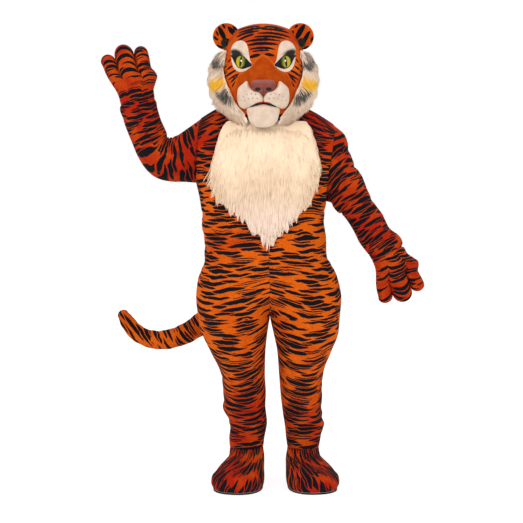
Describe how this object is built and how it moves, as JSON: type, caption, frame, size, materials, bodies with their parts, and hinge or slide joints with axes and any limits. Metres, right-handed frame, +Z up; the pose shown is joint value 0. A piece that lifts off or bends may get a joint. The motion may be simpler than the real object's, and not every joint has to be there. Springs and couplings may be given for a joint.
{
  "type": "tiger mascot costume",
  "caption": "Full-body plush tiger costume held as worn: hollow head, striped suit and sleeves, mitts, foot covers, cream chest fur and a stuffed tail.",
  "frame": {"origin": "between the wearer's shoulders, 1.500 m above the undersides of the soles, where the body carries the costume", "axes": "+X towards the wearer's left, +Y towards the wearer's back, +Z up; the face looks along -Y"},
  "size_m": [1.3188, 0.5828, 1.9],
  "materials": {
    "plush_orange": "short-pile plush, orange with black tiger stripes",
    "fur_cream": "long-pile cream fake fur",
    "felt_white": "short white plush",
    "inner_ear_fur": "dark fake fur",
    "nose_brown": "moulded, satin",
    "eye_gloss": "domed and glossy, painted iris and slit pupil",
    "sole_black": "matt sheet soling",
    "zip_tape": "woven polyester tape"
  },
  "bodies": {
    "root": {"suit_front_right": "plush_orange", "suit_front_left": "plush_orange", "suit_back_right": "plush_orange", "suit_back_left": "plush_orange", "sleeve_right": "plush_orange", "sleeve_left": "plush_orange", "mitt_right_palm": "plush_orange", "mitt_right_back": "plush_orange", "mitt_left_palm": "plush_orange", "mitt_left_back": "plush_orange", "foot_right_upper": "plush_orange", "foot_left_upper": "plush_orange", "tail": "plush_orange", "head_shell": "plush_orange", "ear_right": "plush_orange", "ear_left": "plush_orange", "bib": "fur_cream", "cheek_ruff_right": "fur_cream", "cheek_ruff_left": "fur_cream", "eye_patch_right": "felt_white", "eye_patch_left": "felt_white", "muzzle_right": "felt_white", "muzzle_left": "felt_white", "chin": "felt_white", "ear_inner_right": "inner_ear_fur", "ear_inner_left": "inner_ear_fur", "nose": "nose_brown", "eye_right": "eye_gloss", "eye_left": "eye_gloss", "foot_right_sole": "sole_black", "foot_left_sole": "sole_black", "zip_tape": "zip_tape"}
  },
  "joints": []
}
